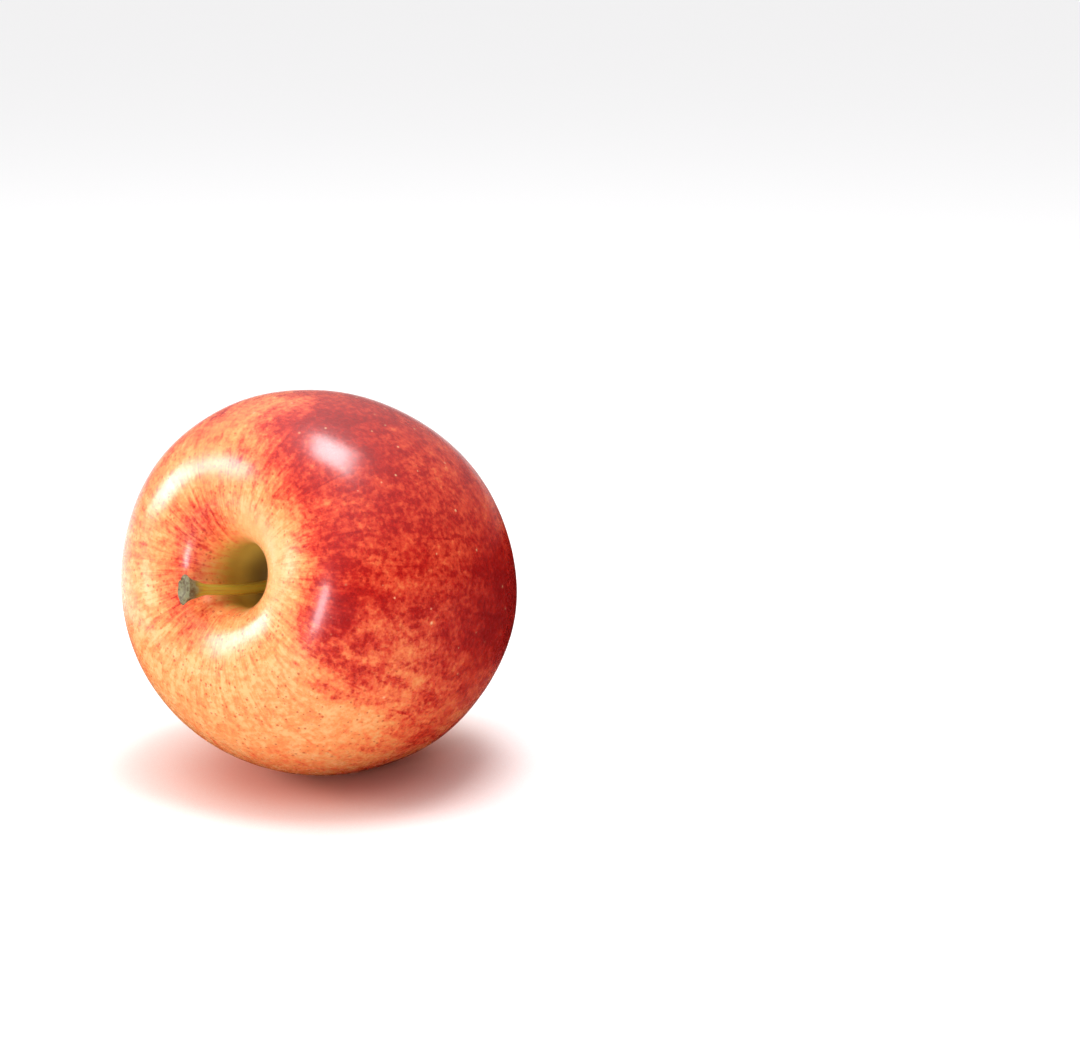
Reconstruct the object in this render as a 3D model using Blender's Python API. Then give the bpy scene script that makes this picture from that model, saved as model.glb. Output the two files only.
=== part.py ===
"""A dessert apple lying on its cheek: the grown fruit, its stem and its dried calyx.

The fruit is turned about its core axis from a half-profile, then leans and lobes a little, as a grown
fruit does. Every piece is modelled upright along the core axis, calyx end down, and hangs on one empty
that lays the core axis over. The origin is the centre of the small flat spot that the fruit rests on.
Metres, +Z up; the stem end points towards -Y and is raised.
"""

import math

import bmesh
import bpy
from mathutils import Matrix, Vector

MM = 0.001
FULL_TURN = 2.0 * math.pi

# Fruit: radii from the core axis, heights from the plane of the calyx end's crest.
CHEEK_RADIUS = 36.0 * MM
CHEEK_HEIGHT = 34.5 * MM
FRUIT_HEIGHT = 62.5 * MM
SHOULDER_RADIUS = 17.0 * MM
CAVITY_DEPTH = 18.0 * MM
THROAT_RADIUS = 5.9 * MM
THROAT_RISE = 7.5 * MM
BASE_RADIUS = 12.4 * MM
BASIN_DEPTH = 6.5 * MM
CALYX_TUBE_RADIUS = 2.6 * MM
CALYX_TUBE_END_RADIUS = 1.7 * MM
CALYX_TUBE_DEPTH = 4.5 * MM

# Fullness of each stretch of the profile: how far its handle reaches, as a share of the stretch.
SHOULDER_FULLNESS = 0.545
UPPER_CHEEK_FULLNESS = 0.565
LOWER_CHEEK_FULLNESS = 0.57
BASE_FULLNESS = 0.53
CAVITY_LIP_FULLNESS = 0.72
THROAT_FULLNESS = 0.24
THROAT_SIDE_FULLNESS = 0.7
THROAT_FLOOR_FULLNESS = 0.3
BASIN_FULLNESS = 0.5

# Growth: five lobes, one over each carpel, and one shoulder higher than the other.
LOBES = 5
BASE_LOBE = 0.8 * MM
SHOULDER_LOBE = 0.25 * MM
SHOULDER_LEAN = 0.05
LEAN_SIDE = math.radians(103.0)

# Where the lobes show, as shares of the fruit's height: below the first, and above the second.
BASE_LOBE_TOP = 0.5
SHOULDER_LOBE_FOOT = 0.6

# How it lies: the raise of the stem end, and how deep the resting spot is pressed flat.
STEM_END_RAISE = math.radians(17.0)
FLAT_SPOT_DEPTH = 0.65 * MM

# Stem: a straight root in its socket, then a bend that leaves downwards and swings to one side, and a
# flared end whose middle stands proud of the shoulder's crest plane. Its leave and its arrival are the
# handles of the bend, as shares of its height, each with a lean from the core axis and a side.
STEM_RADIUS = 1.0 * MM
STEM_ROOT_RADIUS = 1.25 * MM
STEM_END_RADIUS = 2.6 * MM
STEM_END_FLARE = 4.2 * MM
STEM_PROUD = 2.4 * MM
STEM_LEAN = math.radians(20.0)
STEM_LEAN_SIDE = math.radians(214.5)
STEM_LEAVE = 0.32
STEM_LEAVE_LEAN = math.radians(28.5)
STEM_LEAVE_SIDE = math.radians(270.0)
STEM_ARRIVAL = 0.4
STEM_ARRIVAL_LEAN = math.radians(32.0)
STEM_ARRIVAL_SIDE = math.radians(195.0)
STEM_TAPER_SHARE = 0.4
STEM_FLARE_POWER = 1.6
STEM_SOCKET_DEPTH = 3.0 * MM

# Calyx: five dried sepals round the mouth of the calyx tube, and the withered stamens inside it.
SEPALS = 5
SEPAL_LENGTH = 5.4 * MM
SEPAL_WIDTH = 3.2 * MM
SEPAL_THICKNESS = 0.5 * MM
SEPAL_SETBACK = 1.3 * MM
SEPAL_CURLS = (1.0, 0.55, 1.25, 0.8, 1.1)
STAMENS = 10
STAMEN_LENGTH = 2.6 * MM
STAMEN_SPLAY = 0.7 * MM

# A sepal's bend as (outward, upward) shares of its length, and the taper and trough of its blade.
SEPAL_LEAVE = (-0.12, -0.35)
SEPAL_ARRIVAL = (-0.16, -0.75)
SEPAL_TIP = (0.28, -0.92)
SEPAL_TAPER = 0.88
SEPAL_TAPER_POWER = 1.3
SEPAL_TROUGH = 0.16

# The stamen stubs: the gap between them as a share of the plug's radius, how much each thins, and how
# much shorter the shortest is.
STAMEN_GAP = 0.06
STAMEN_THINNING = 0.55
STAMEN_SHORTENING = 0.25

# Clearance between pieces that touch.
CLEARANCE = 0.3 * MM

# Fineness: of the turn, of each stretch of the profile, of the stem's bend and round its quarter, and
# of a sepal across and along. An edge that turns by more than the sharp angle stays sharp.
SEGMENTS = 60
THROAT_STEPS = 7
CAVITY_STEPS = 10
CHEEK_STEPS = 11
BASIN_STEPS = 7
WALL_STEPS = 64
STEM_STEPS = 14
STEM_ROUND_STEPS = 4
SEPAL_STEPS = (4, 7)
SHARP_ANGLE = math.radians(40.0)
MERGE = 0.001 * MM


def cubic(start, leave, arrive, end, steps):
    """Points along a cubic curve from start up to, but not including, end."""
    points = []
    for step in range(steps):
        t = step / steps
        s = 1.0 - t
        points.append(s**3 * start + 3 * s * s * t * leave + 3 * s * t * t * arrive + t**3 * end)
    return points


def cavity_floor():
    """Height of the floor of the stem cavity, where the stem comes out."""
    return FRUIT_HEIGHT - CAVITY_DEPTH


def socket_radius():
    """Radius of the socket that holds the stem's root."""
    return STEM_ROOT_RADIUS + CLEARANCE


def basin_curve(steps):
    """The calyx basin's wall, from its crest in to the mouth of the calyx tube."""
    crest = Vector((BASE_RADIUS, 0.0))
    mouth = Vector((CALYX_TUBE_RADIUS, BASIN_DEPTH))
    width = BASE_RADIUS - CALYX_TUBE_RADIUS
    leave = crest - Vector((BASIN_FULLNESS * width, 0.0))
    arrive = mouth + Vector((BASIN_FULLNESS * width, 0.0))
    return cubic(crest, leave, arrive, mouth, steps) + [mouth]


def basin_wall(x, y):
    """Height of the grown basin's wall at this place beside the core axis."""
    radius = math.hypot(x, y)
    point = Vector((x, y, BASIN_DEPTH))
    curve = basin_curve(WALL_STEPS)
    for outer, inner in zip(curve, curve[1:]):
        if inner.x <= radius <= outer.x:
            share = (outer.x - radius) / (outer.x - inner.x)
            point.z = outer.y + share * (inner.y - outer.y)
    grow(point)
    return point.z


def fruit_profile():
    """Half-profile (radius, height) from the stem socket over the skin to the end of the calyx tube."""
    floor = cavity_floor()
    socket_end = floor - STEM_SOCKET_DEPTH
    edge = Vector((socket_radius(), floor))
    throat = Vector((THROAT_RADIUS, floor + THROAT_RISE))
    crest = Vector((SHOULDER_RADIUS, FRUIT_HEIGHT))
    cheek = Vector((CHEEK_RADIUS, CHEEK_HEIGHT))
    base = Vector((BASE_RADIUS, 0.0))
    above = FRUIT_HEIGHT - CHEEK_HEIGHT
    wall = crest.y - throat.y

    points = [Vector((0.0, socket_end)), Vector((socket_radius(), socket_end))]
    points += cubic(
        edge,
        edge + Vector((THROAT_FLOOR_FULLNESS * (THROAT_RADIUS - edge.x), 0.0)),
        throat - Vector((0.0, THROAT_SIDE_FULLNESS * THROAT_RISE)),
        throat,
        THROAT_STEPS,
    )
    points += cubic(
        throat,
        throat + Vector((0.0, THROAT_FULLNESS * wall)),
        crest - Vector((CAVITY_LIP_FULLNESS * SHOULDER_RADIUS, 0.0)),
        crest,
        CAVITY_STEPS,
    )
    points += cubic(
        crest,
        crest + Vector((SHOULDER_FULLNESS * (CHEEK_RADIUS - SHOULDER_RADIUS), 0.0)),
        cheek + Vector((0.0, UPPER_CHEEK_FULLNESS * above)),
        cheek,
        CHEEK_STEPS,
    )
    points += cubic(
        cheek,
        cheek - Vector((0.0, LOWER_CHEEK_FULLNESS * CHEEK_HEIGHT)),
        base + Vector((BASE_FULLNESS * (CHEEK_RADIUS - BASE_RADIUS), 0.0)),
        base,
        CHEEK_STEPS,
    )
    points += basin_curve(BASIN_STEPS)
    tube_end = BASIN_DEPTH + CALYX_TUBE_DEPTH
    points += [Vector((CALYX_TUBE_END_RADIUS, tube_end)), Vector((0.0, tube_end))]
    return points


def grow(point):
    """Moves a point of the turned fruit to where growth put it: lobes, and one shoulder higher."""
    radius = math.hypot(point.x, point.y)
    turn = math.atan2(point.y, point.x)
    rise = point.z / FRUIT_HEIGHT
    below = max(0.0, 1.0 - rise / BASE_LOBE_TOP) * min(1.0, radius / BASE_RADIUS)
    above = max(0.0, (rise - SHOULDER_LOBE_FOOT) / (1.0 - SHOULDER_LOBE_FOOT))
    above *= min(1.0, radius / SHOULDER_RADIUS)
    lobe = math.cos(LOBES * turn)
    point.z += lobe * (SHOULDER_LOBE * above**2 - BASE_LOBE * below**2)
    point.z += SHOULDER_LEAN * radius * math.cos(turn - LEAN_SIDE)


def finish(name, colour, roughness):
    """A plain material of this colour and roughness."""
    material = bpy.data.materials.new(name)
    material.use_nodes = True
    shader = material.node_tree.nodes["Principled BSDF"]
    shader.inputs["Base Color"].default_value = (*colour, 1.0)
    shader.inputs["Roughness"].default_value = roughness
    shader.inputs["Metallic"].default_value = 0.0
    return material


def add_piece(name, data, parent, material):
    """A named object that hangs on its parent and wears this material."""
    piece = bpy.data.objects.new(name, data)
    bpy.context.collection.objects.link(piece)
    piece.parent = parent
    data.materials.append(material)
    return piece


def mesh_from(shape, name):
    """Turns an edited shape into a smooth-shaded mesh."""
    bmesh.ops.recalc_face_normals(shape, faces=shape.faces)
    mesh = bpy.data.meshes.new(name)
    shape.to_mesh(mesh)
    shape.free()
    mesh.shade_smooth()
    mesh.set_sharp_from_angle(angle=SHARP_ANGLE)
    return mesh


def turned_fruit():
    """The fruit as an edited shape, turned from its profile and grown, before it is pressed flat."""
    shape = bmesh.new()
    rim = [shape.verts.new((point.x, 0.0, point.y)) for point in fruit_profile()]
    edges = [shape.edges.new(pair) for pair in zip(rim, rim[1:])]
    bmesh.ops.spin(
        shape,
        geom=rim + edges,
        cent=(0.0, 0.0, 0.0),
        axis=(0.0, 0.0, 1.0),
        angle=FULL_TURN,
        steps=SEGMENTS,
        use_merge=True,
    )
    bmesh.ops.remove_doubles(shape, verts=shape.verts, dist=MERGE)
    for vertex in shape.verts:
        grow(vertex.co)
    return shape


def press_flat(shape, down):
    """Presses the fruit flat where it rests and returns the middle of the flat spot."""
    lowest = max(vertex.co.dot(down) for vertex in shape.verts)
    cut = bmesh.ops.bisect_plane(
        shape,
        geom=shape.verts[:] + shape.edges[:] + shape.faces[:],
        dist=MERGE,
        plane_co=down * (lowest - FLAT_SPOT_DEPTH),
        plane_no=down,
        clear_outer=True,
    )
    rim = [item for item in cut["geom_cut"] if isinstance(item, bmesh.types.BMEdge)]
    spot = bmesh.ops.contextual_create(shape, geom=rim)["faces"][0]
    return spot.calc_center_median_weighted()


def make_fruit(core):
    """The grown fruit. It also sets the core axis over, so that the flat spot lies at the origin."""
    core.rotation_euler = (math.pi / 2.0 - STEM_END_RAISE, 0.0, 0.0)
    laid = core.rotation_euler.to_matrix()
    down = laid.transposed() @ Vector((0.0, 0.0, -1.0))
    shape = turned_fruit()
    core.location = -(laid @ press_flat(shape, down))
    skin = finish("apple_skin", (0.72, 0.13, 0.04), 0.32)
    return add_piece("fruit", mesh_from(shape, "fruit"), core, skin)


def leaning(length, lean, side):
    """A line of this length that leans from the core axis to one side."""
    across = length * math.sin(lean)
    return Vector((across * math.cos(side), across * math.sin(side), length * math.cos(lean)))


def stem_path():
    """Middle line of the stem, from the end of its root to its flared end, as (point, radius)."""
    start = Vector((0.0, 0.0, cavity_floor() - STEM_SOCKET_DEPTH + CLEARANCE))
    root = Vector((0.0, 0.0, cavity_floor() + CLEARANCE))
    height = CAVITY_DEPTH + STEM_PROUD - CLEARANCE
    end = root + leaning(height / math.cos(STEM_LEAN), STEM_LEAN, STEM_LEAN_SIDE)
    leave = root + leaning(STEM_LEAVE * height, STEM_LEAVE_LEAN, STEM_LEAVE_SIDE)
    arrive = end - leaning(STEM_ARRIVAL * height, STEM_ARRIVAL_LEAN, STEM_ARRIVAL_SIDE)
    path = []
    for point in [start] + cubic(root, leave, arrive, end, STEM_STEPS) + [end]:
        root_share = min(1.0, max(0.0, 1.0 - (point.z - root.z) / (STEM_TAPER_SHARE * height)))
        end_share = max(0.0, 1.0 - (end - point).length / STEM_END_FLARE) ** STEM_FLARE_POWER
        radius = STEM_RADIUS + (STEM_ROOT_RADIUS - STEM_RADIUS) * root_share
        path.append((point, radius + (STEM_END_RADIUS - STEM_RADIUS) * end_share))
    return path


def make_stem(core):
    """The woody stem: a tapering round tube with closed ends, flared where it came off the twig."""
    path = stem_path()
    line = bpy.data.curves.new("stem", "CURVE")
    line.dimensions = "3D"
    line.bevel_depth = 1.0
    line.bevel_resolution = STEM_ROUND_STEPS
    line.use_fill_caps = True
    spline = line.splines.new("POLY")
    spline.points.add(len(path) - 1)
    spline.use_smooth = True
    for knot, (point, radius) in zip(spline.points, path):
        knot.co = (*point, 1.0)
        knot.radius = radius
    return add_piece("stem", line, core, finish("stem_wood", (0.26, 0.19, 0.05), 0.6))


def sepal_point(across, along, curl):
    """A point of a sepal: across runs -1 to 1 over its width, along 0 to 1 from root to tip."""
    leave = Vector(SEPAL_LEAVE) * SEPAL_LENGTH
    arrive = Vector(SEPAL_ARRIVAL) * SEPAL_LENGTH
    tip = Vector((curl * SEPAL_TIP[0], SEPAL_TIP[1])) * SEPAL_LENGTH
    s = 1.0 - along
    middle = 3 * s * s * along * leave + 3 * s * along**2 * arrive + along**3 * tip
    width = 0.5 * SEPAL_WIDTH * (1.0 - SEPAL_TAPER * along**SEPAL_TAPER_POWER)
    trough = SEPAL_TROUGH * width * (1.0 - across**2)
    return Vector((middle.x + trough, across * width, middle.y))


def sepal_seat(ring, turn):
    """Where a sepal's root stands: clear of the basin's wall under all of its foot."""
    foot = Matrix.Rotation(turn, 3, "Z")
    heights = []
    for outward in (-SEPAL_THICKNESS, SEPAL_THICKNESS):
        for aside in (-0.5 * SEPAL_WIDTH, 0.0, 0.5 * SEPAL_WIDTH):
            corner = foot @ Vector((ring + outward, aside, 0.0))
            heights.append(basin_wall(corner.x, corner.y))
    return foot @ Vector((ring, 0.0, 0.0)) + Vector((0.0, 0.0, min(heights) - CLEARANCE))


def make_sepal(number, core, leathery):
    """One dried sepal: a tapering strip, standing at the tube's mouth and curling outwards."""
    shape = bmesh.new()
    bmesh.ops.create_grid(shape, x_segments=SEPAL_STEPS[0], y_segments=SEPAL_STEPS[1], size=1.0)
    for vertex in shape.verts:
        across, along = vertex.co.x, 0.5 * (vertex.co.y + 1.0)
        vertex.co = sepal_point(across, along, SEPAL_CURLS[number % len(SEPAL_CURLS)])
    sepal = add_piece(f"sepal_{number + 1}", mesh_from(shape, "sepal"), core, leathery)
    wall = sepal.modifiers.new("wall", "SOLIDIFY")
    wall.thickness = SEPAL_THICKNESS
    wall.offset = 0.0
    ring = CALYX_TUBE_RADIUS + SEPAL_SETBACK
    turn = (number + 0.5) * FULL_TURN / SEPALS
    sepal.location = sepal_seat(ring, turn)
    sepal.rotation_euler = (0.0, 0.0, turn)
    return sepal


def make_stamen_tuft(core):
    """The withered stamens: a short plug in the calyx tube that splits into fine stubs."""
    root_radius = CALYX_TUBE_END_RADIUS - CLEARANCE
    height = CALYX_TUBE_DEPTH - CLEARANCE
    shape = bmesh.new()
    bmesh.ops.create_cone(
        shape,
        cap_ends=True,
        cap_tris=True,
        segments=STAMENS,
        radius1=root_radius,
        radius2=root_radius,
        depth=height,
        matrix=Matrix.Translation((0.0, 0.0, 0.5 * height)),
    )
    bmesh.ops.recalc_face_normals(shape, faces=shape.faces)
    top = [face for face in shape.faces if face.normal.z > 0.9]
    bmesh.ops.inset_individual(shape, faces=top, thickness=STAMEN_GAP * root_radius)
    stubs = bmesh.ops.extrude_discrete_faces(shape, faces=top)["faces"]
    for number, stub in enumerate(stubs):
        middle = stub.calc_center_median()
        outward = Vector((middle.x, middle.y, 0.0)).normalized()
        length = STAMEN_LENGTH * (1.0 - STAMEN_SHORTENING * (number % 3) / 2.0)
        for vertex in stub.verts:
            vertex.co = middle + (vertex.co - middle) * STAMEN_THINNING
            vertex.co += outward * STAMEN_SPLAY + Vector((0.0, 0.0, length))
    dried = finish("dried_stamens", (0.09, 0.05, 0.025), 0.85)
    tuft = add_piece("stamen_tuft", mesh_from(shape, "stamen_tuft"), core, dried)
    tuft.location = (0.0, 0.0, BASIN_DEPTH + CALYX_TUBE_DEPTH - CLEARANCE)
    tuft.rotation_euler = (math.pi, 0.0, 0.0)
    return tuft


def clear_scene():
    """Removes every object that is already in the scene."""
    for leftover in list(bpy.data.objects):
        bpy.data.objects.remove(leftover, do_unlink=True)


def main():
    """Builds the apple on its core axis."""
    clear_scene()
    core = bpy.data.objects.new("core_axis", None)
    bpy.context.collection.objects.link(core)
    make_fruit(core)
    make_stem(core)
    leathery = finish("dried_sepals", (0.13, 0.08, 0.035), 0.8)
    for number in range(SEPALS):
        make_sepal(number, core, leathery)
    make_stamen_tuft(core)


main()
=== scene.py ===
"""Looks of a bicolour dessert apple that lies on its cheek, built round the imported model.

The fruit, its stem, its five dried sepals and its withered stamens are modelled fine here, in metres,
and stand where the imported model's pieces stand. Every finish is a node-based material.
"""

import logging
import math
from dataclasses import dataclass, field
from enum import Enum
from typing import Any, Callable, Sequence, Union

import bpy
from mathutils import Euler, Matrix, Vector, noise


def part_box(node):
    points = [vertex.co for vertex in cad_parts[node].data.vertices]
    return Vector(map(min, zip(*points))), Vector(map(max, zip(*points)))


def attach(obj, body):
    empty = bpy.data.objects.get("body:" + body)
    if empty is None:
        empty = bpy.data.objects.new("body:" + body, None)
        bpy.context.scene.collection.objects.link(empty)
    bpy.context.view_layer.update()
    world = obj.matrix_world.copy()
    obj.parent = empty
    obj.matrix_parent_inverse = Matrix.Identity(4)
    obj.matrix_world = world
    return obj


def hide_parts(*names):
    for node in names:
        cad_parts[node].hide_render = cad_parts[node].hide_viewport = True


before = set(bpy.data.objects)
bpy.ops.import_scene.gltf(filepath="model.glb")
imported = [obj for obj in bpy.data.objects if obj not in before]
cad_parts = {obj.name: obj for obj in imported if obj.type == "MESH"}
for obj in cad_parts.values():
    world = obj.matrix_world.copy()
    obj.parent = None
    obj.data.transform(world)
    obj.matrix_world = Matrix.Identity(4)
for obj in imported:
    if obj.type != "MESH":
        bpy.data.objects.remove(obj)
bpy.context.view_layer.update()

MM = 0.001
FULL_TURN = 2.0 * math.pi
SAME_POINT = 0.001 * MM
BODY = "root"

Colour = tuple[float, float, float]
Span = tuple[float, float]
Socket = bpy.types.NodeSocket
Feed = Union[Socket, float, tuple]
log = logging.getLogger("apple")


class Slot(Enum):
    """The material slots."""

    SKIN = "skin"
    STEM = "stem_wood"
    SEPAL = "dried_calyx"
    STAMEN = "dried_stamens"


# ---------------------------------------------------------------------------------------------
# Modelling helpers
# ---------------------------------------------------------------------------------------------


def deselect_all() -> None:
    """Leaves object mode with nothing selected."""
    if bpy.context.object and bpy.context.object.mode != "OBJECT":
        bpy.ops.object.mode_set(mode="OBJECT")
    bpy.ops.object.select_all(action="DESELECT")


def edit(piece: bpy.types.Object) -> None:
    """Opens one mesh in edit mode with all of it selected.

    Args:
        piece: The object to edit.
    """
    deselect_all()
    piece.select_set(True)
    bpy.context.view_layer.objects.active = piece
    bpy.ops.object.mode_set(mode="EDIT")
    bpy.ops.mesh.select_all(action="SELECT")


def clean_shell(piece: bpy.types.Object) -> None:
    """Merges doubles and turns all faces outwards.

    Args:
        piece: The mesh to clean.
    """
    edit(piece)
    bpy.ops.mesh.remove_doubles(threshold=SAME_POINT)
    bpy.ops.mesh.normals_make_consistent(inside=False)
    bpy.ops.object.mode_set(mode="OBJECT")


def apply_modifier(piece: bpy.types.Object, kind: str, **settings: Any) -> None:
    """Adds a modifier, sets it and applies it.

    Args:
        piece: The object to change.
        kind: The modifier's type.
        settings: The modifier's properties.
    """
    modifier = piece.modifiers.new(kind.lower(), kind)
    for name, value in settings.items():
        setattr(modifier, name, value)
    deselect_all()
    piece.select_set(True)
    bpy.context.view_layer.objects.active = piece
    bpy.ops.object.modifier_apply(modifier=modifier.name)


def reshape(piece: bpy.types.Object, move: Callable[[Vector], Vector]) -> None:
    """Moves each point of a mesh by a rule.

    Args:
        piece: The mesh to reshape.
        move: Gives the new place of a point.
    """
    for vertex in piece.data.vertices:
        vertex.co = move(vertex.co.copy())
    piece.data.update()


def box_of(piece: bpy.types.Object) -> tuple[Vector, Vector]:
    """The box round a mesh.

    Args:
        piece: The mesh to measure.

    Returns:
        Its lowest and its highest corner.
    """
    corners = [vertex.co for vertex in piece.data.vertices]
    low = Vector([min(corner[axis] for corner in corners) for axis in range(3)])
    high = Vector([max(corner[axis] for corner in corners) for axis in range(3)])
    return low, high


def smooth(piece: bpy.types.Object, sharp: float) -> None:
    """Shades a mesh smooth, but for edges sharper than an angle.

    Args:
        piece: The mesh to shade.
        sharp: The angle in degrees.
    """
    deselect_all()
    piece.select_set(True)
    bpy.context.view_layer.objects.active = piece
    bpy.ops.object.shade_smooth_by_angle(angle=math.radians(sharp))


def place(piece: bpy.types.Object, slot: Slot, material: bpy.types.Material, *nodes: str) -> None:
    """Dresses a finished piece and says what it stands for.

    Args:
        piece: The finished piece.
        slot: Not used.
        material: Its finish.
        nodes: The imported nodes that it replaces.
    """
    piece.data.materials.clear()
    piece.data.materials.append(material)
    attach(piece, BODY)
    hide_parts(*nodes)
    log.info("%s: %d faces, for %s", piece.name, len(piece.data.polygons), ", ".join(nodes))


# ---------------------------------------------------------------------------------------------
# Node helpers and shared node groups
# ---------------------------------------------------------------------------------------------


class Board:
    """A node tree to which nodes are added and linked by short calls."""

    def __init__(self, tree: bpy.types.NodeTree) -> None:
        """Takes the tree to build in."""
        self.tree = tree

    def node(self, kind: str, **settings: Any) -> bpy.types.Node:
        """Adds a node and sets its properties.

        Args:
            kind: The node's type.
            settings: Its properties.

        Returns:
            The new node.
        """
        made = self.tree.nodes.new(kind)
        for name, value in settings.items():
            setattr(made, name, value)
        return made

    def feed(self, socket: Socket, value: Feed) -> None:
        """Links a socket to another, or sets its value.

        Args:
            socket: The input socket.
            value: The output socket to link it to, or its value.
        """
        if isinstance(value, Socket):
            self.tree.links.new(value, socket)
        else:
            socket.default_value = value

    def attribute(self, name: str) -> Socket:
        """The mesh's own attribute of this name, as a vector."""
        return self.node("ShaderNodeAttribute", attribute_name=name).outputs["Vector"]

    def object_place(self) -> Socket:
        """Each point's place in the object's own coordinates."""
        return self.node("ShaderNodeTexCoord").outputs["Object"]

    def axis(self, where: Feed, letter: str) -> Socket:
        """One coordinate of a vector.

        Args:
            where: The vector.
            letter: X, Y or Z.

        Returns:
            The coordinate.
        """
        made = self.node("ShaderNodeSeparateXYZ")
        self.feed(made.inputs[0], where)
        return made.outputs[letter]

    def math(self, operation: str, *values: Feed) -> Socket:
        """A Math node.

        Args:
            operation: What it does.
            values: Its inputs, in order.

        Returns:
            Its result.
        """
        made = self.node("ShaderNodeMath", operation=operation)
        for socket, value in zip(made.inputs, values):
            self.feed(socket, value)
        return made.outputs[0]

    def both(self, first: Feed, second: Feed) -> Socket:
        """Two masks or shares multiplied."""
        return self.math("MULTIPLY", first, second)

    def scaled(self, value: Feed, share: Feed, base: Feed) -> Socket:
        """A share of a value, added to a base."""
        return self.math("MULTIPLY_ADD", value, share, base)

    def swayed(self, base: Feed, pattern: Feed, share: float) -> Socket:
        """A value that a pattern moves up and down.

        Args:
            base: The value.
            pattern: The pattern, whose middle, 0.5, adds nothing.
            share: How strong it is.

        Returns:
            The moved value.
        """
        return self.scaled(self.math("SUBTRACT", pattern, 0.5), share, base)

    def vector(self, operation: str, first: Feed, second: Feed) -> Socket:
        """A Vector Math node of two inputs; a dot product gives its value.

        Args:
            operation: What it does.
            first: Its first input.
            second: Its second input.

        Returns:
            Its result.
        """
        made = self.node("ShaderNodeVectorMath", operation=operation)
        self.feed(made.inputs[0], first)
        self.feed(made.inputs[1], second)
        return made.outputs["Value" if operation == "DOT_PRODUCT" else "Vector"]

    def stretched(self, where: Feed, scale: Feed, shift: Feed = (0.0, 0.0, 0.0)) -> Socket:
        """Coordinates scaled and shifted by a Mapping node.

        Args:
            where: The coordinates.
            scale: The scale on each axis.
            shift: The shift on each axis.

        Returns:
            The new coordinates.
        """
        made = self.node("ShaderNodeMapping")
        self.feed(made.inputs["Vector"], where)
        self.feed(made.inputs["Location"], shift)
        self.feed(made.inputs["Scale"], scale)
        return made.outputs["Vector"]

    def noise(self, where: Feed, scale: Feed, detail: float = 2.0, rough: float = 0.5) -> Socket:
        """A noise value.

        Args:
            where: The coordinates.
            scale: How many cells go into one unit.
            detail: How many finer layers it has.
            rough: How strong the finer layers are.

        Returns:
            The noise, about 0.5 on average.
        """
        made = self.node("ShaderNodeTexNoise")
        self.feed(made.inputs["Vector"], where)
        self.feed(made.inputs["Scale"], scale)
        self.feed(made.inputs["Detail"], detail)
        self.feed(made.inputs["Roughness"], rough)
        return made.outputs["Fac"]

    def band(self, value: Feed, low: Feed, high: Feed) -> Socket:
        """A smooth step from 0 at low to 1 at high; low may be the larger.

        Args:
            value: What is measured.
            low: Where the step begins.
            high: Where it ends.

        Returns:
            A mask from 0 to 1.
        """
        made = self.node("ShaderNodeMapRange", interpolation_type="SMOOTHSTEP")
        self.feed(made.inputs["Value"], value)
        self.feed(made.inputs["From Min"], low)
        self.feed(made.inputs["From Max"], high)
        return made.outputs["Result"]

    def ramp(self, value: Feed, stops: Sequence[tuple[float, Colour]]) -> Socket:
        """A colour ramp.

        Args:
            value: The place on the ramp.
            stops: The place and linear colour of each stop.

        Returns:
            The colour.
        """
        made = self.node("ShaderNodeValToRGB")
        elements = made.color_ramp.elements
        while len(elements) < len(stops):
            elements.new(0.5)
        for element, (at, colour) in zip(elements, stops):
            element.position = at
            element.color = (*colour, 1.0)
        self.feed(made.inputs["Fac"], value)
        return made.outputs["Color"]

    def mix(self, share: Feed, first: Feed, second: Feed) -> Socket:
        """Mixes two colours.

        Args:
            share: How much of the second.
            first: The first colour, as a socket or linear colour.
            second: The second colour.

        Returns:
            The mixed colour.
        """
        made = self.node("ShaderNodeMix", data_type="RGBA", blend_type="MIX")
        self.feed(made.inputs[0], share)
        self.feed(made.inputs[6], first if not isinstance(first, tuple) else (*first, 1.0))
        self.feed(made.inputs[7], second if not isinstance(second, tuple) else (*second, 1.0))
        return made.outputs[2]

    def group(self, tree: bpy.types.NodeTree, **values: Feed) -> Socket:
        """Places a shared node group.

        Args:
            tree: The group's tree.
            values: Its inputs by name.

        Returns:
            The group's first output.
        """
        made = self.node("ShaderNodeGroup", node_tree=tree)
        for name, value in values.items():
            self.feed(made.inputs[name], value)
        return made.outputs[0]

    def bump(
        self, height: Feed, strength: float, distance: float, below: Feed | None = None
    ) -> Socket:
        """A Bump node.

        Args:
            height: The height mask.
            strength: How strong it is.
            distance: How high the mask's 1 is, in metres.
            below: The normal that it is added to.

        Returns:
            The bumped normal.
        """
        made = self.node("ShaderNodeBump")
        self.feed(made.inputs["Height"], height)
        self.feed(made.inputs["Strength"], strength)
        self.feed(made.inputs["Distance"], distance)
        if below is not None:
            self.feed(made.inputs["Normal"], below)
        return made.outputs["Normal"]


def new_group(
    name: str, inputs: dict[str, str], output: str
) -> tuple[Board, bpy.types.Node, bpy.types.Node]:
    """Starts a shared node group.

    Args:
        name: The group's name.
        inputs: The type of each input by name.
        output: The name of its one output, a value.

    Returns:
        The board, the group's input node and its output node.
    """
    tree = bpy.data.node_groups.new(name, "ShaderNodeTree")
    for label, kind in inputs.items():
        tree.interface.new_socket(name=label, in_out="INPUT", socket_type=kind)
    tree.interface.new_socket(name=output, in_out="OUTPUT", socket_type="NodeSocketFloat")
    board = Board(tree)
    return board, board.node("NodeGroupInput"), board.node("NodeGroupOutput")


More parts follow.
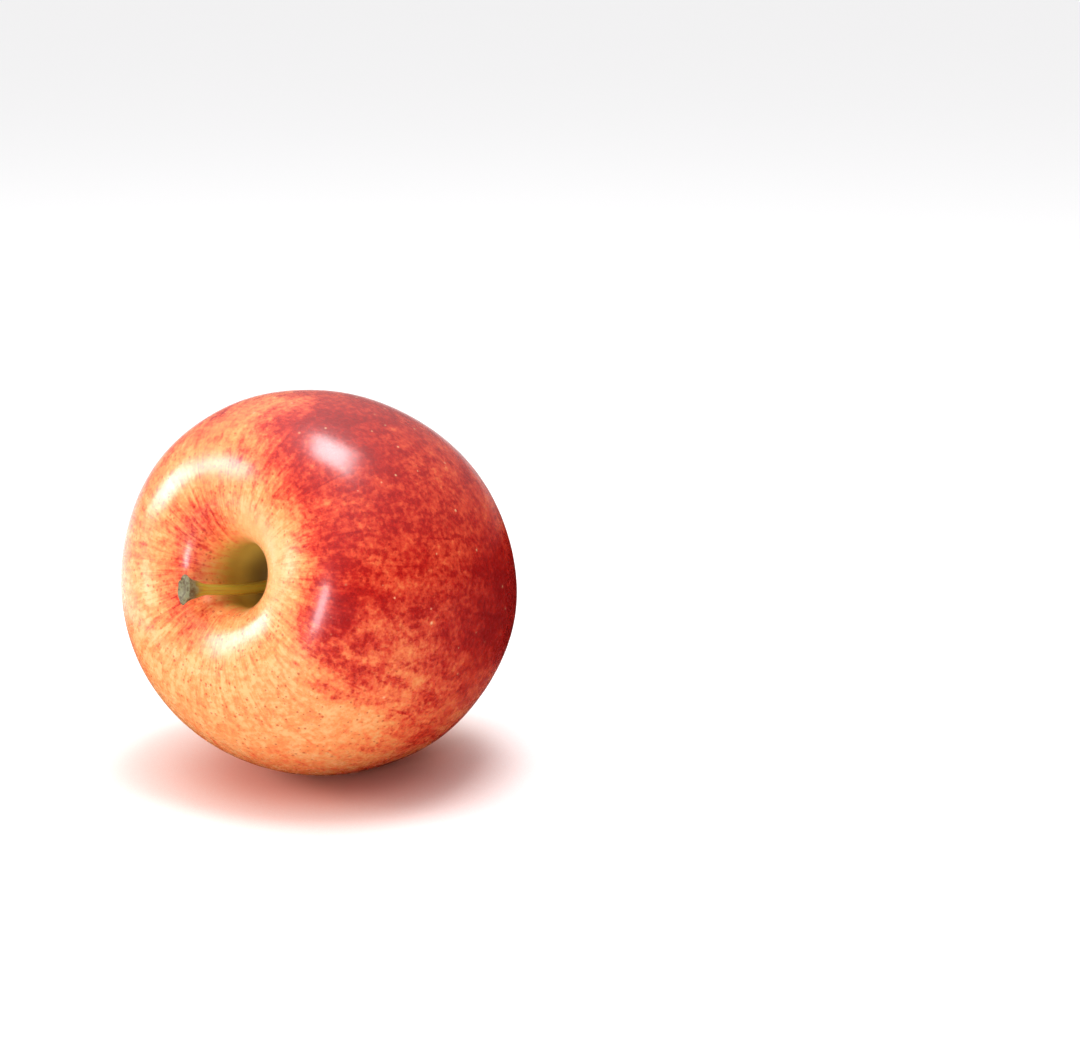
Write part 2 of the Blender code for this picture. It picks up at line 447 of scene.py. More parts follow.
@dataclass(frozen=True)
class SharedEffects:
    """The node groups that several finishes place."""

    streaks: bpy.types.NodeTree
    dots: bpy.types.NodeTree
    grain: bpy.types.NodeTree

    @classmethod
    def build(cls) -> "SharedEffects":
        """Builds the three groups once."""
        return cls(cls._streaks(), cls._dots(), cls._grain())

    @staticmethod
    def _streaks() -> bpy.types.NodeTree:
        """Streaks that run along the meridians: noise pulled out along the third coordinate.

        Returns:
            The group's tree.
        """
        board, given, out = new_group(
            "meridian_streaks",
            {
                "Core": "NodeSocketVector",
                "Across": "NodeSocketFloat",
                "Along": "NodeSocketFloat",
                "Shift": "NodeSocketFloat",
            },
            "Streaks",
        )
        scale = board.node("ShaderNodeCombineXYZ")
        shift = board.node("ShaderNodeCombineXYZ")
        for axis, name in enumerate(("Across", "Across", "Along")):
            board.feed(scale.inputs[axis], given.outputs[name])
            board.feed(shift.inputs[axis], given.outputs["Shift"])
        pulled = board.stretched(given.outputs["Core"], scale.outputs[0], shift.outputs[0])
        board.feed(out.inputs[0], board.noise(pulled, 1.0, 2.5, 0.55))
        return board.tree

    @staticmethod
    def _dots() -> bpy.types.NodeTree:
        """Scattered round dots of uneven size: the cells' own points, where they meet the surface.

        Returns:
            The group's tree.
        """
        board, given, out = new_group(
            "scattered_dots",
            {"Place": "NodeSocketVector", "Per Unit": "NodeSocketFloat", "Size": "NodeSocketFloat"},
            "Dots",
        )
        cells = board.node("ShaderNodeTexVoronoi", voronoi_dimensions="3D", feature="F1")
        board.feed(cells.inputs["Vector"], given.outputs["Place"])
        board.feed(cells.inputs["Scale"], given.outputs["Per Unit"])
        parts = board.node("ShaderNodeSeparateColor")
        board.feed(parts.inputs[0], cells.outputs["Color"])
        uneven = board.scaled(parts.outputs[0], 0.7, 0.5)
        edge = board.both(given.outputs["Size"], uneven)
        inner = board.both(edge, 0.45)
        board.feed(out.inputs[0], board.band(cells.outputs["Distance"], edge, inner))
        return board.tree

    @staticmethod
    def _grain() -> bpy.types.NodeTree:
        """Fine uneven grain: two layers of noise.

        Returns:
            The group's tree.
        """
        board, given, out = new_group(
            "fine_grain", {"Place": "NodeSocketVector", "Per Unit": "NodeSocketFloat"}, "Grain"
        )
        place, per_unit = given.outputs["Place"], given.outputs["Per Unit"]
        fine = board.noise(place, per_unit, 3.0, 0.6)
        coarse = board.noise(place, board.both(per_unit, 0.23))
        board.feed(out.inputs[0], board.scaled(coarse, 0.4, board.both(fine, 0.6)))
        return board.tree


# ---------------------------------------------------------------------------------------------
# Finishes
# ---------------------------------------------------------------------------------------------


def new_material(name: str, **sockets: Any) -> tuple[bpy.types.Material, Board, bpy.types.Node]:
    """Starts a material with one Principled shader.

    Args:
        name: The material's name.
        sockets: Values of the shader's own sockets, with _ for a space.

    Returns:
        The material, its board and its shader node.
    """
    material = bpy.data.materials.new(name)
    material.use_nodes = True
    shader = material.node_tree.nodes["Principled BSDF"]
    for label, value in sockets.items():
        shader.inputs[label.replace("_", " ")].default_value = value
    return material, Board(material.node_tree), shader


def side_direction(side: float) -> tuple[float, float, float]:
    """The direction out from the core axis at this angle round it."""
    return math.cos(side), math.sin(side), 0.0


@dataclass(frozen=True)
class WaxySkin:
    """The apple's skin: a yellow-orange ground, a mottled red blush, flecks, pale dots and a waxy gloss.

    The skin's own coordinates are an attribute: the first two run round the core axis on a circle of
    radius 1, and the third, the arc, runs over the skin from the stem, in cheek radii. A span of arcs
    tells where a zone begins and where it is full.
    """

    effects: SharedEffects
    attribute: str
    sun_side: float = math.radians(31.0)
    deep_red_and_shade_side: float = math.radians(4.0)
    upper_side: float = math.radians(118.0)
    shade_side: float = math.radians(180.0)
    throat_end: Span = (0.24, 0.08)
    throat: Span = (0.48, 0.26)
    cavity_gloss: Span = (0.50, 0.20)
    cavity_wall: Span = (0.40, 0.55)
    cavity_wall_top: Span = (0.78, 0.60)
    pale_wall: Span = (0.74, 0.56)
    crest: Span = (0.38, 0.60)
    crest_end: Span = (1.25, 0.85)
    line_start: Span = (0.45, 0.70)
    blush_start: Span = (0.66, 0.98)
    dot_start: Span = (0.85, 1.30)
    upper_start: Span = (0.85, 1.20)
    cheek: Span = (1.25, 1.60)
    far_cheek: Span = (1.25, 1.95)
    calyx_half: Span = (1.40, 2.05)
    cream: Colour = (0.76, 0.38, 0.15)
    ground: Colour = (0.76, 0.265, 0.080)
    orange: Colour = (0.75, 0.155, 0.050)
    vermilion: Colour = (0.62, 0.052, 0.020)
    scarlet: Colour = (0.43, 0.010, 0.005)
    crimson: Colour = (0.27, 0.003, 0.003)
    wine: Colour = (0.32, 0.003, 0.002)
    speck: Colour = (0.36, 0.042, 0.012)
    olive: Colour = (0.66, 0.43, 0.070)
    umber: Colour = (0.20, 0.11, 0.015)
    lenticel: Colour = (0.86, 0.50, 0.26)

    def build(self) -> bpy.types.Material:
        """Builds the skin.

        Returns:
            The material.
        """
        material, board, shader = new_material(
            "waxy_skin",
            IOR=1.45,
            Specular_IOR_Level=0.38,
            Coat_Weight=0.3,
            Coat_Roughness=0.14,
            Coat_IOR=1.45,
        )
        core = board.attribute(self.attribute)
        place = board.object_place()
        arc = board.axis(core, "Z")
        wide = self._streaks(board, core, 2.6, 1.2, 3.1)
        mottle = self._streaks(board, core, 13.0, 9.0, 7.7)
        fine = board.noise(place, 1050.0, 2.5, 0.6)
        patches = board.noise(place, 95.0, 3.0, 0.6)

        redness = self._blush(board, core, arc, wide, patches)
        redness = board.swayed(redness, mottle, 0.62)
        redness = board.swayed(redness, fine, 0.80)
        redness = self._lines(board, core, arc, redness)
        tint = board.ramp(
            redness,
            (
                (0.0, self.cream),
                (0.18, self.ground),
                (0.38, self.orange),
                (0.58, self.vermilion),
                (0.80, self.scarlet),
                (1.0, self.crimson),
            ),
        )
        tint = self._flecks(board, tint, place, redness, mottle)
        tint = self._cavity(board, tint, core, arc, mottle)
        dots = board.group(self.effects.dots, **{"Place": place, "Per Unit": 320.0, "Size": 0.10})
        shown = board.both(dots, board.band(arc, *self.dot_start))
        tint = board.mix(board.both(shown, 0.65), tint, self.lenticel)
        board.feed(shader.inputs["Base Color"], tint)

        grain = board.group(self.effects.grain, **{"Place": place, "Per Unit": 1500.0})
        rough = board.scaled(grain, 0.14, 0.20)
        rough = board.scaled(board.band(arc, *self.cavity_gloss), 0.3, rough)
        board.feed(shader.inputs["Roughness"], rough)
        waves = board.bump(patches, 0.2, 0.5 * MM)
        pores = board.bump(grain, 0.16, 0.1 * MM, waves)
        board.feed(shader.inputs["Normal"], board.bump(shown, 0.25, 0.06 * MM, pores))
        return material

    def _streaks(self, board: Board, core: Feed, across: float, along: float, shift: float) -> Socket:
        """A streak pattern on the skin's own coordinates.

        Args:
            board: The material's board.
            core: The skin's coordinates.
            across: How fine it is round the core axis.
            along: How fine it is from stem to calyx.
            shift: A shift that makes it differ from the other patterns.

        Returns:
            The pattern, about 0.5 on average.
        """
        return board.group(self.effects.streaks, Core=core, Across=across, Along=along, Shift=shift)

    @staticmethod
    def _side(board: Board, core: Feed, side: float, low: float, high: float) -> Socket:
        """A mask over one side of the fruit.

        Args:
            board: The material's board.
            core: The skin's coordinates.
            side: The side's angle round the core axis.
            low: The cosine of the angle from that side at which the mask begins.
            high: The cosine at which it is full.

        Returns:
            The mask.
        """
        return board.band(board.vector("DOT_PRODUCT", core, side_direction(side)), low, high)

    def _blush(self, board: Board, core: Feed, arc: Feed, wide: Feed, patches: Feed) -> Socket:
        """How red the skin is, from 0 to about 0.8: most where the sun was, and little in the cavity.

        Args:
            board: The material's board.
            core: The skin's coordinates.
            arc: The third of them.
            wide: The widest streaks.
            patches: Uneven patches.

        Returns:
            The redness, before the finer patterns.
        """
        main = self._sunny(board, core, arc, wide, patches)
        # A darker red band on one side towards the calyx: partly the skin's own deep red, partly painted
        # shade on that rim.
        deep = self._side(board, core, self.deep_red_and_shade_side, 0.90, 1.0)
        main = board.scaled(board.both(deep, board.band(arc, *self.calyx_half)), 0.32, main)
        wall = board.both(board.band(arc, *self.cavity_wall), board.band(arc, *self.cavity_wall_top))
        flush = board.both(self._side(board, core, self.shade_side, -0.35, 0.6), board.both(wall, 0.27))
        share = board.scaled(board.band(arc, *self.upper_start), 0.14, 0.10)
        above = board.both(self._side(board, core, self.upper_side, 0.1, 0.9), share)
        total = board.math("ADD", board.math("ADD", main, flush), board.math("ADD", above, 0.14))
        return board.swayed(board.swayed(total, patches, 0.32), wide, 0.30)

    def _sunny(self, board: Board, core: Feed, arc: Feed, wide: Feed, patches: Feed) -> Socket:
        """The main blush on the sunny side, ragged at its edge and wider towards the calyx.

        Args:
            board: The material's board.
            core: The skin's coordinates.
            arc: The third of them.
            wide: The widest streaks.
            patches: Uneven patches.

        Returns:
            The redness that the sun gave.
        """
        side = board.vector("DOT_PRODUCT", core, side_direction(self.sun_side))
        ragged = board.swayed(board.swayed(side, wide, 0.9), patches, 0.5)
        widened = board.band(arc, *self.far_cheek)
        low = board.scaled(widened, -0.66, 0.26)
        high = board.scaled(widened, -0.45, 0.98)
        main = board.both(board.band(ragged, low, high), board.band(arc, *self.blush_start))
        return board.both(main, board.scaled(board.band(arc, *self.cheek), -0.14, 0.64))

    def _lines(self, board: Board, core: Feed, arc: Feed, redness: Feed) -> Socket:
        """A comb of fine streaks over the crest, and a few long thin red lines that cross it.

        Args:
            board: The material's board.
            core: The skin's coordinates.
            arc: The third of them.
            redness: How red the skin is.

        Returns:
            The redness with the lines in it.
        """
        comb = self._streaks(board, core, 38.0, 6.0, 2.9)
        crest = board.both(board.band(arc, *self.crest), board.band(arc, *self.crest_end))
        share = board.both(board.math("SUBTRACT", comb, 0.5), board.both(crest, 0.55))
        redness = board.math("ADD", redness, share)
        long_lines = self._streaks(board, core, 15.0, 1.5, 9.4)
        thin = board.both(board.band(long_lines, 0.65, 0.76), board.band(arc, *self.line_start))
        return board.scaled(thin, 0.24, redness)

    def _flecks(self, board: Board, tint: Feed, place: Feed, redness: Feed, mottle: Feed) -> Socket:
        """Dark fine flecks in the red, and small round specks that show most outside it.

        Args:
            board: The material's board.
            tint: The colour so far.
            place: The object's coordinates.
            redness: How red the skin is.
            mottle: The mottling streaks, which gather the flecks.

        Returns:
            The flecked colour.
        """
        shifted = board.stretched(place, (1150.0, 1150.0, 1150.0), (5.2, 5.2, 5.2))
        gathered = board.swayed(board.noise(shifted, 1.0, 2.0, 0.6), mottle, 0.45)
        dark = board.both(board.band(gathered, 0.51, 0.64), board.band(redness, 0.30, 0.75))
        tint = board.mix(board.both(dark, 0.75), tint, self.wine)
        specks = board.group(self.effects.dots, **{"Place": place, "Per Unit": 900.0, "Size": 0.28})
        shown = board.both(specks, board.scaled(board.band(redness, 0.35, 0.6), -0.62, 0.7))
        return board.mix(shown, tint, self.speck)

    def _cavity(self, board: Board, tint: Feed, core: Feed, arc: Feed, mottle: Feed) -> Socket:
        """Cream on the sunny wall of the stem cavity, then olive down its throat.

        Args:
            board: The material's board.
            tint: The colour so far.
            core: The skin's coordinates.
            arc: The third of them.
            mottle: The mottling streaks, which make the edges ragged.

        Returns:
            The colour with the cavity's in it.
        """
        ragged = board.swayed(arc, mottle, 0.25)
        sunny = self._side(board, core, self.sun_side, 0.2, 0.95)
        pale = board.both(board.band(ragged, *self.pale_wall), sunny)
        tint = board.mix(board.both(pale, 0.7), tint, self.cream)
        tint = board.mix(board.band(ragged, *self.throat), tint, self.olive)
        return board.mix(board.band(arc, *self.throat_end), tint, self.umber)


@dataclass(frozen=True)
class StemWood:
    """The stem: olive-brown bark with fine ridges, and a grey-green corky end with a dark hollow.

    Its coordinates are an attribute: the place on the straight, unbent stem of length 1.
    """

    effects: SharedEffects
    attribute: str
    bark: Colour = (0.36, 0.20, 0.014)
    green: Colour = (0.30, 0.235, 0.022)
    brown: Colour = (0.24, 0.105, 0.010)
    cork: Colour = (0.18, 0.165, 0.078)
    dark_cork: Colour = (0.085, 0.055, 0.020)

    def build(self) -> bpy.types.Material:
        """Builds the stem's bark.

        Returns:
            The material.
        """
        material, board, shader = new_material("stem_bark", IOR=1.45)
        run = board.attribute(self.attribute)
        place = board.object_place()
        length = board.axis(run, "Z")
        ridges = board.noise(board.stretched(run, (2.4, 2.4, 2.2)), 1.0, 3.0, 0.55)
        grain = board.group(self.effects.grain, **{"Place": place, "Per Unit": 1600.0})
        tint = board.ramp(ridges, ((0.28, self.brown), (0.46, self.bark), (0.62, self.green)))
        root = board.band(length, 0.25, 0.0)
        tint = board.mix(board.both(root, 0.6), tint, self.green)
        corky = board.band(board.scaled(grain, 0.12, length), 0.93, 1.03)
        flecked = board.mix(board.band(grain, 0.55, 0.40), self.cork, self.dark_cork)
        flat = board.stretched(run, (1.0, 1.0, 0.0))
        hollow = board.band(board.vector("DOT_PRODUCT", flat, flat), 0.18, 0.015)
        flecked = board.mix(board.both(hollow, 0.8), flecked, self.dark_cork)
        board.feed(shader.inputs["Base Color"], board.mix(corky, tint, flecked))
        board.feed(shader.inputs["Roughness"], board.scaled(corky, 0.35, 0.36))
        bark = board.bump(ridges, 0.35, 0.3 * MM)
        board.feed(shader.inputs["Normal"], board.bump(grain, 0.3, 0.2 * MM, bark))
        return material


@dataclass(frozen=True)
class DriedLeaf:
    """A dried leaf of the calyx: brown, unevenly paler in places, matt and slightly downy."""

    effects: SharedEffects
    name: str = "dried_sepal"
    dark: Colour = (0.055, 0.03, 0.013)
    mid: Colour = (0.16, 0.10, 0.045)
    pale: Colour = (0.34, 0.27, 0.15)

    def build(self) -> bpy.types.Material:
        """Builds the dried leaf.

        Returns:
            The material.
        """
        material, board, shader = new_material(
            self.name, Roughness=0.85, Sheen_Weight=0.25, Sheen_Roughness=0.4
        )
        place = board.object_place()
        grain = board.group(self.effects.grain, **{"Place": place, "Per Unit": 2200.0})
        mottle = board.noise(place, 420.0, 3.0, 0.6)
        value = board.scaled(grain, 0.6, board.both(mottle, 0.5))
        tint = board.ramp(value, ((0.36, self.dark), (0.54, self.mid), (0.74, self.pale)))
        board.feed(shader.inputs["Base Color"], tint)
        board.feed(shader.inputs["Normal"], board.bump(grain, 0.7, 0.2 * MM))
        return material


@dataclass(frozen=True)
class PaleSweep:
    """The plain white floor, with a painted reddish shadow where the apple stands close over it."""

    colour: Colour = (0.93, 0.925, 0.93)
    painted_shadow_colour: Colour = (0.82, 0.41, 0.32)
    reach: float = 38.0 * MM

    def build(self) -> bpy.types.Material:
        """Builds the floor's finish.

        Returns:
            The material.
        """
        material, board, shader = new_material("white_sweep", Roughness=0.7)
        cloud = board.noise(board.object_place(), 2.0, 1.0)
        near = board.node("ShaderNodeAmbientOcclusion", samples=8)
        near.inputs["Distance"].default_value = self.reach
        pale = board.mix(cloud, self.colour, tuple(0.99 * part for part in self.colour))
        # Painted shadow: a reddish shade painted on the floor where ambient occlusion finds the apple
        # close.
        painted_shadow_mask = board.band(near.outputs["AO"], 0.85, 0.15)
        board.feed(shader.inputs["Base Color"], board.mix(painted_shadow_mask, pale, self.painted_shadow_colour))
        return material


@dataclass(frozen=True)
class GlossShadeCard:
    """A painted dark reflection: a dark red card that only gloss sees, standing in for shade, fading out
    towards the card's edges.

    Its coordinates are an attribute: the place on the flat card, from -0.5 to 0.5 each way.
    """

    name: str
    attribute: str
    dark: Colour = (0.10, 0.004, 0.003)
    light: Colour = (0.14, 0.01, 0.006)
    foot_share: float = 0.65

    def build(self) -> bpy.types.Material:
        """Builds the card's dark finish, which paints shade into the skin's reflections.

        Returns:
            The material.
        """
        material, board, shader = new_material(self.name, Roughness=1.0, Specular_IOR_Level=0.0)
        shade_card_noise = board.noise(board.object_place(), 60.0)
        board.feed(shader.inputs["Base Color"], board.mix(shade_card_noise, self.dark, self.light))
        flat = board.attribute(self.attribute)
        across = board.band(board.math("ABSOLUTE", board.axis(flat, "X")), 0.5, 0.36)
        height = board.axis(flat, "Y")
        foot = board.scaled(board.band(height, -0.5, -0.2), 1.0 - self.foot_share, self.foot_share)
        upward = board.both(board.band(height, 0.5, 0.15), foot)
        board.feed(shader.inputs["Alpha"], board.both(across, upward))
        return material


# ---------------------------------------------------------------------------------------------
# The fruit
# ---------------------------------------------------------------------------------------------


@dataclass(frozen=True)
class Knot:
    """A knot of the half-profile: its radius and height, and its two handles."""

    radius: float
    height: float
    before: tuple[float, float]
    after: tuple[float, float]


@dataclass
class Fruit:
    """The grown fruit: sizes from its core axis and from the plane of the calyx end's crest."""

    cheek_radius: float = 36.0 * MM
    cheek_height: float = 34.5 * MM
    height: float = 62.5 * MM
    shoulder_radius: float = 17.0 * MM
    cavity_depth: float = 18.0 * MM
    throat_radius: float = 5.9 * MM
    throat_rise: float = 7.5 * MM
    base_radius: float = 12.4 * MM
    basin_depth: float = 6.5 * MM
    tube_radius: float = 2.6 * MM
    tube_end_radius: float = 1.7 * MM
    tube_depth: float = 4.5 * MM
    socket_radius: float = 1.33 * MM
    socket_depth: float = 3.0 * MM
    shoulder_fullness: float = 0.545
    upper_cheek_fullness: float = 0.565
    lower_cheek_fullness: float = 0.57
    base_fullness: float = 0.53
    lip_fullness: float = 0.72
    throat_fullness: float = 0.24
    throat_side_fullness: float = 0.7
    throat_floor_fullness: float = 0.3
    basin_fullness: float = 0.5
    lobes: int = 5
    base_lobe: float = 0.8 * MM
    base_lobe_top: float = 0.5
    shoulder_lobe: float = 0.25 * MM
    shoulder_lobe_foot: float = 0.6
    lean: float = 0.05
    lean_side: float = math.radians(103.0)
    raised: float = math.radians(17.0)
    spot_edge: float = 0.12 * MM
    wave: float = 0.22 * MM
    wave_length: float = 17.0 * MM
    segments: int = 288
    steps: int = 28
    attribute: str = "skin_place"
    laid: Matrix = field(default_factory=Matrix)

    @property
    def floor(self) -> float:
        """Height of the stem cavity's floor."""
        return self.height - self.cavity_depth

    def knots(self) -> list[Knot]:
        """The half-profile, from the stem's socket over the skin to the end of the calyx tube.

        Returns:
            Its knots, in order.
        """
        above = self.upper_cheek_fullness * (self.height - self.cheek_height)
        shoulder = self.shoulder_fullness * (self.cheek_radius - self.shoulder_radius)
        lip = self.lip_fullness * self.shoulder_radius
        base = self.base_fullness * (self.cheek_radius - self.base_radius)
        basin = self.basin_fullness * (self.base_radius - self.tube_radius)
        wall = self.cavity_depth - self.throat_rise
        throat = self.floor + self.throat_rise
        tube_end = self.basin_depth + self.tube_depth
        sock, deep = self.socket_radius, self.floor - self.socket_depth
        bowl = self.throat_floor_fullness * (self.throat_radius - sock)
        return [
            Knot(0.0, deep, (0.0, deep), (0.5 * sock, deep)),
            Knot(sock, deep, (0.6 * sock, deep), (sock, deep + 0.3 * self.socket_depth)),
            Knot(sock, self.floor, (sock, self.floor - 0.3 * MM), (sock + bowl, self.floor)),
            Knot(
                self.throat_radius,
                throat,
                (self.throat_radius, throat - self.throat_side_fullness * self.throat_rise),
                (self.throat_radius, throat + self.throat_fullness * wall),
            ),
            Knot(
                self.shoulder_radius,
                self.height,
                (self.shoulder_radius - lip, self.height),
                (self.shoulder_radius + shoulder, self.height),
            ),
            Knot(
                self.cheek_radius,
                self.cheek_height,
                (self.cheek_radius, self.cheek_height + above),
                (self.cheek_radius, self.cheek_height * (1.0 - self.lower_cheek_fullness)),
            ),
            Knot(self.base_radius, 0.0, (self.base_radius + base, 0.0), (self.base_radius - basin, 0.0)),
            Knot(
                self.tube_radius,
                self.basin_depth,
                (self.tube_radius + basin, self.basin_depth),
                (self.tube_radius - 0.3 * MM, self.basin_depth + 0.5 * MM),
            ),
            Knot(
                self.tube_end_radius,
                tube_end,
                (self.tube_end_radius, tube_end - 0.4 * self.tube_depth),
                (0.6 * self.tube_end_radius, tube_end),
            ),
            Knot(0.0, tube_end, (0.4 * self.tube_end_radius, tube_end), (0.0, tube_end)),
        ]

    def build(self) -> bpy.types.Object:
        """Models the fruit and lays it on its cheek.

        Returns:
            The fruit.
        """
        piece = self._profile()
        self._mark_arc(piece)
        edit(piece)
        bpy.ops.mesh.spin(
            steps=self.segments,
            angle=FULL_TURN,
            center=(0.0, 0.0, 0.0),
            axis=(0.0, 0.0, 1.0),
        )
        bpy.ops.object.mode_set(mode="OBJECT")
        clean_shell(piece)
        self._mark_skin(piece)
        reshape(piece, self._grow)
        self._lay(piece)
        smooth(piece, 75.0)
        return piece

    def _profile(self) -> bpy.types.Object:
        """Draws the half-profile as a curve in the XZ plane and makes it a line of edges.

        Returns:
            The line.
        """
        deselect_all()
        bpy.ops.curve.primitive_bezier_curve_add(location=(0.0, 0.0, 0.0))
        piece = bpy.context.object
        piece.name = piece.data.name = "fruit_skin"
        line = piece.data
        line.resolution_u = self.steps
        spline = line.splines[0]
        knots = self.knots()
        spline.bezier_points.add(len(knots) - len(spline.bezier_points))
        for point, knot in zip(spline.bezier_points, knots):
            point.handle_left_type = point.handle_right_type = "FREE"
            point.co = (knot.radius, 0.0, knot.height)
            point.handle_left = (knot.before[0], 0.0, knot.before[1])
            point.handle_right = (knot.after[0], 0.0, knot.after[1])
        bpy.ops.object.convert(target="MESH")
        return bpy.context.object

    def _mark_arc(self, piece: bpy.types.Object) -> None:
        """Notes on each point how far along the skin it is from the stem, in cheek radii.

        Args:
            piece: The half-profile.
        """
        mesh = piece.data
        arc = mesh.attributes.new("arc", "FLOAT", "POINT")
        run = 0.0
        last = mesh.vertices[0].co
        for vertex, item in zip(mesh.vertices, arc.data):
            run += (vertex.co - last).length
            last = vertex.co
            item.value = (run - self.socket_radius - self.socket_depth) / self.cheek_radius

    def _mark_skin(self, piece: bpy.types.Object) -> None:
        """Gives each point its place on the skin: round the core axis, and along the skin.

        Args:
            piece: The turned fruit.
        """
        mesh = piece.data
        skin = mesh.attributes.new(self.attribute, "FLOAT_VECTOR", "POINT")
        arcs = [item.value for item in mesh.attributes["arc"].data]
        for vertex, arc, item in zip(mesh.vertices, arcs, skin.data):
            radius = max(math.hypot(vertex.co.x, vertex.co.y), 1e-7)
            item.vector = (vertex.co.x / radius, vertex.co.y / radius, arc)
        mesh.attributes.remove(mesh.attributes["arc"])

    def _grow(self, point: Vector) -> Vector:
        """Where growth put a point of the turned fruit: lobes, a leaning shoulder and slight waves.

        Args:
            point: A point of the turned fruit.

        Returns:
            Its grown place.
        """
        radius = math.hypot(point.x, point.y)
        turn = math.atan2(point.y, point.x)
        rise = point.z / self.height
        past_base = min(1.0, radius / self.base_radius)
        past_shoulder = min(1.0, radius / self.shoulder_radius)
        below = max(0.0, 1.0 - rise / self.base_lobe_top) ** 2 * past_base**2
        above = max(0.0, (rise - self.shoulder_lobe_foot) / (1.0 - self.shoulder_lobe_foot)) ** 2
        above *= past_shoulder**2
        lobe = math.cos(self.lobes * turn)
        swell = noise.noise(point / self.wave_length) * self.wave * past_shoulder
        point.x *= 1.0 + swell / self.cheek_radius
        point.y *= 1.0 + swell / self.cheek_radius
        point.z += lobe * (self.shoulder_lobe * above - self.base_lobe * below)
        point.z += self.lean * radius * math.cos(turn - self.lean_side)
        return point

    def _lay(self, piece: bpy.types.Object) -> None:
        """Lays the fruit over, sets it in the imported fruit's place and presses its cheek flat.

        Args:
            piece: The grown fruit.
        """
        turn = Euler((math.pi / 2.0 - self.raised, 0.0, 0.0)).to_matrix().to_4x4()
        piece.data.transform(turn)
        low, high = box_of(piece)
        packed_low, packed_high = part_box("fruit")
        shift = (packed_low + packed_high - low - high) / 2.0
        shift.z = packed_high.z - high.z
        self.laid = Matrix.Translation(shift) @ turn
        piece.data.transform(Matrix.Translation(shift))
        reshape(piece, self._press)

    def _press(self, point: Vector) -> Vector:
        """Presses a point up to the floor, with a rounded edge to the flat spot.

        Args:
            point: A point of the laid fruit.

        Returns:
            Its place on or over the floor.
        """
        if point.z < 20.0 * self.spot_edge:
            point.z = 0.5 * (point.z + math.sqrt(point.z**2 + self.spot_edge**2))
        return point


# ---------------------------------------------------------------------------------------------
# The stem
# ---------------------------------------------------------------------------------------------


def leaning(length: float, lean: float, side: float) -> Vector:
    """A line that leans from the core axis.

    Args:
        length: Its length.
        lean: Its angle from the core axis.
        side: The side that it leans to, as an angle round the core axis.

    Returns:
        The line as a vector.
    """
    across = length * math.sin(lean)
    return Vector((across * math.cos(side), across * math.sin(side), length * math.cos(lean)))


